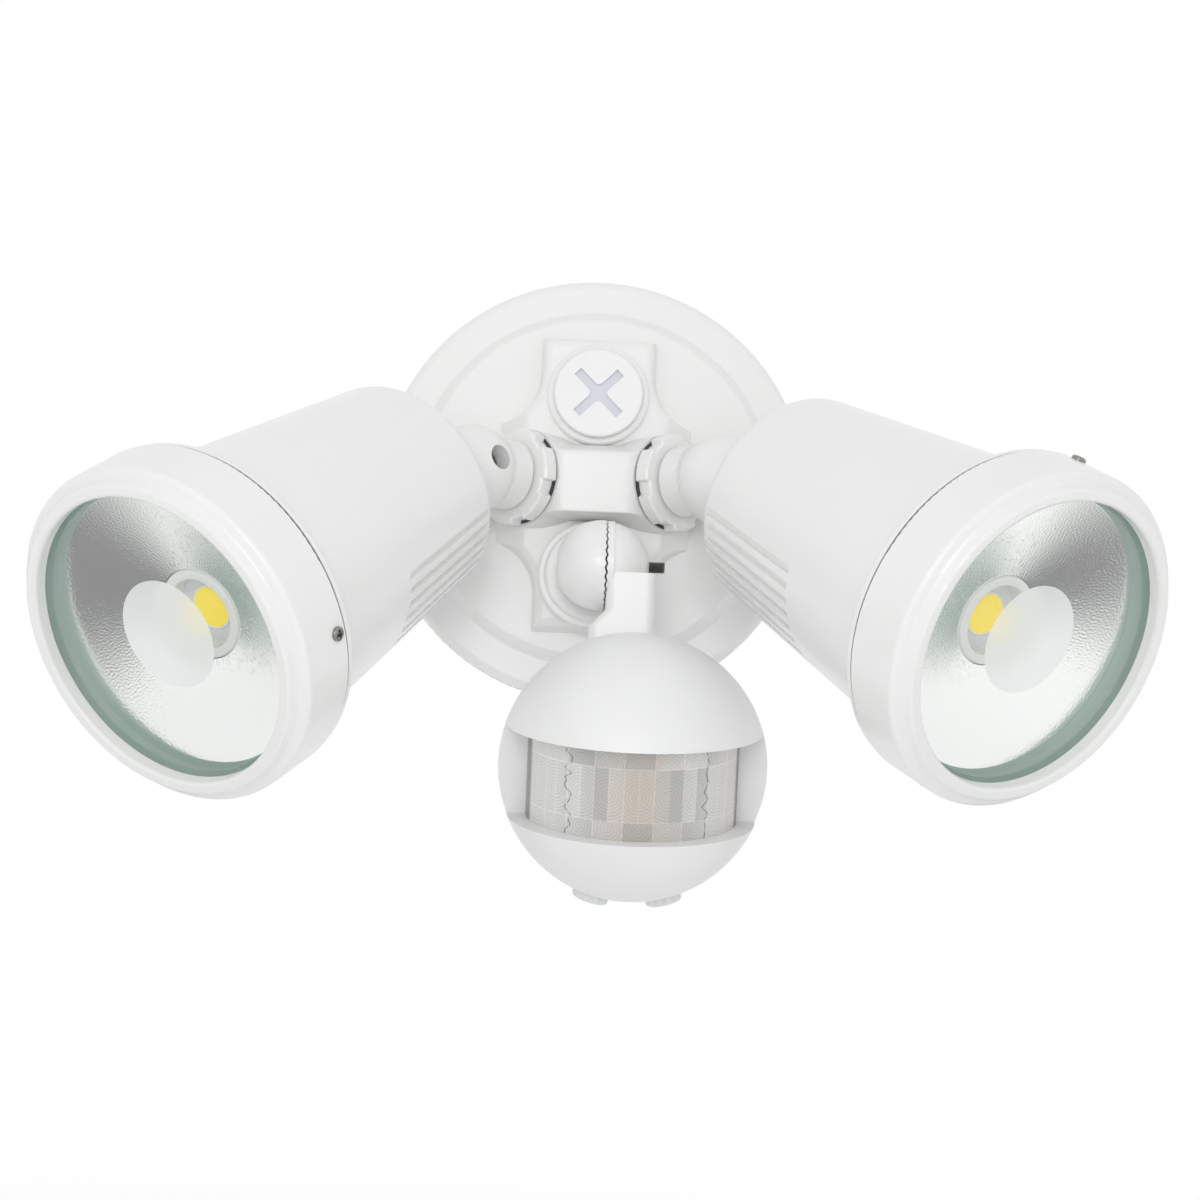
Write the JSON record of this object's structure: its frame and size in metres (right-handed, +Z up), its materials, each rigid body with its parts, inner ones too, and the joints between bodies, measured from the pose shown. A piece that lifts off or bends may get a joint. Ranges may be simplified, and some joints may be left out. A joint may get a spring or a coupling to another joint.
{
  "type": "motion sensor security light",
  "caption": "Wall-mounted outdoor security light: a round cast plate with swivelling spotlight heads and a tilting ball that holds a motion sensor.",
  "frame": {"origin": "centre of the round plate, on the wall surface it is screwed to", "axes": "+X to the right and +Z up as seen from in front; +Y into the wall, so the light stands out along -Y"},
  "size_m": [0.355, 0.1772, 0.222],
  "materials": {
    "white_coat": "warm white powder coat, satin with a faint orange peel",
    "white_plastic": "white moulded plastic, satin",
    "knob_plastic": "white moulded plastic, satin",
    "rubber": "black rubber, matte",
    "steel": "bright zinc-plated steel",
    "brass": "brass, plain",
    "clear_glass": "clear tempered glass with a frosted centre on its back",
    "bright_aluminium": "bright hammered aluminium",
    "plain_aluminium": "plain aluminium",
    "spacer_plastic": "grey-green plastic behind the glass",
    "trim_plastic": "bright white plastic",
    "phosphor": "yellow silicone over the light-emitting chips",
    "potting": "black potting compound",
    "lens_plastic": "milky moulded polyethylene",
    "circuit_board": "green circuit board",
    "black_plastic": "black plastic"
  },
  "bodies": {
    "wall_base": {"base_gasket": "rubber", "blanking_plug": "white_coat", "earth_screw": "brass", "left_lock_ring": "white_coat", "left_stem_seal": "rubber", "plug_o_ring": "rubber", "right_lock_ring": "white_coat", "right_stem_seal": "rubber", "sensor_lock_ring": "white_coat", "sensor_stem_seal": "rubber", "terminal_block": "trim_plastic", "terminal_screws": "steel", "wall_plate": "white_coat"},
    "left_arm": {"left_stem": "white_coat"},
    "left_lamp": {"left_clamp_bolt": "steel", "left_front_ring": "white_coat", "left_glass_spacer": "spacer_plastic", "left_heat_plate": "plain_aluminium", "left_housing": "white_coat", "left_led_carrier": "plain_aluminium", "left_led_driver": "potting", "left_led_phosphor": "phosphor", "left_lens_glass": "clear_glass", "left_reflector": "bright_aluminium", "left_ring_screws": "steel", "left_trim_ring": "trim_plastic"},
    "right_arm": {"right_stem": "white_coat"},
    "right_lamp": {"right_clamp_bolt": "steel", "right_front_ring": "white_coat", "right_glass_spacer": "spacer_plastic", "right_heat_plate": "plain_aluminium", "right_housing": "white_coat", "right_led_carrier": "plain_aluminium", "right_led_driver": "potting", "right_led_phosphor": "phosphor", "right_lens_glass": "clear_glass", "right_reflector": "bright_aluminium", "right_ring_screws": "steel", "right_trim_ring": "trim_plastic"},
    "sensor_arm_base": {"sensor_stem": "white_coat"},
    "sensor_head": {"adjuster_pots": "black_plastic", "fresnel_lens": "lens_plastic", "photocell": "black_plastic", "pyro_detector": "steel", "sensor_arm": "white_coat", "sensor_board": "circuit_board", "sensor_clamp_bolt": "steel", "sensor_shell_lower": "white_plastic", "sensor_shell_upper": "white_plastic"},
    "time_knob": {"time_knob": "knob_plastic"},
    "lux_knob": {"lux_knob": "knob_plastic"}
  },
  "joints": [
    {"name": "left_swivel", "type": "hinge", "parent": "wall_base", "child": "left_arm", "pos_m": [-0.04107, -0.03677, 0], "axis": [0.7071, 0.7071, 0], "range_deg": [-90, 90]},
    {"name": "left_tilt", "type": "hinge", "parent": "left_arm", "child": "left_lamp", "pos_m": [-0.04107, -0.03677, 0], "axis": [-0.6936, 0.6936, -0.1942], "range_deg": [-30, 75]},
    {"name": "right_swivel", "type": "hinge", "parent": "wall_base", "child": "right_arm", "pos_m": [0.04107, -0.03677, 0], "axis": [-0.7071, 0.7071, 0], "range_deg": [-90, 90]},
    {"name": "right_tilt", "type": "hinge", "parent": "right_arm", "child": "right_lamp", "pos_m": [0.04107, -0.03677, 0], "axis": [-0.6843, -0.6843, 0.2521], "range_deg": [-15, 60]},
    {"name": "sensor_swivel", "type": "hinge", "parent": "wall_base", "child": "sensor_arm_base", "pos_m": [0, -0.043, -0.033], "axis": [0, -1, 0], "range_deg": [-35, 15]},
    {"name": "sensor_tilt", "type": "hinge", "parent": "sensor_arm_base", "child": "sensor_head", "pos_m": [0, -0.043, -0.033], "axis": [-1, 0, 0], "range_deg": [-18, 50]},
    {"name": "time_knob_turn", "type": "hinge", "parent": "sensor_head", "child": "time_knob", "pos_m": [0.00332, -0.0496, -0.14257], "axis": [-0.2656, 0.2819, -0.922], "range_deg": [-135, 135]},
    {"name": "lux_knob_turn", "type": "hinge", "parent": "sensor_head", "child": "lux_knob", "pos_m": [0.02668, -0.0496, -0.14257], "axis": [0.2656, 0.2819, -0.922], "range_deg": [-135, 135]}
  ]
}
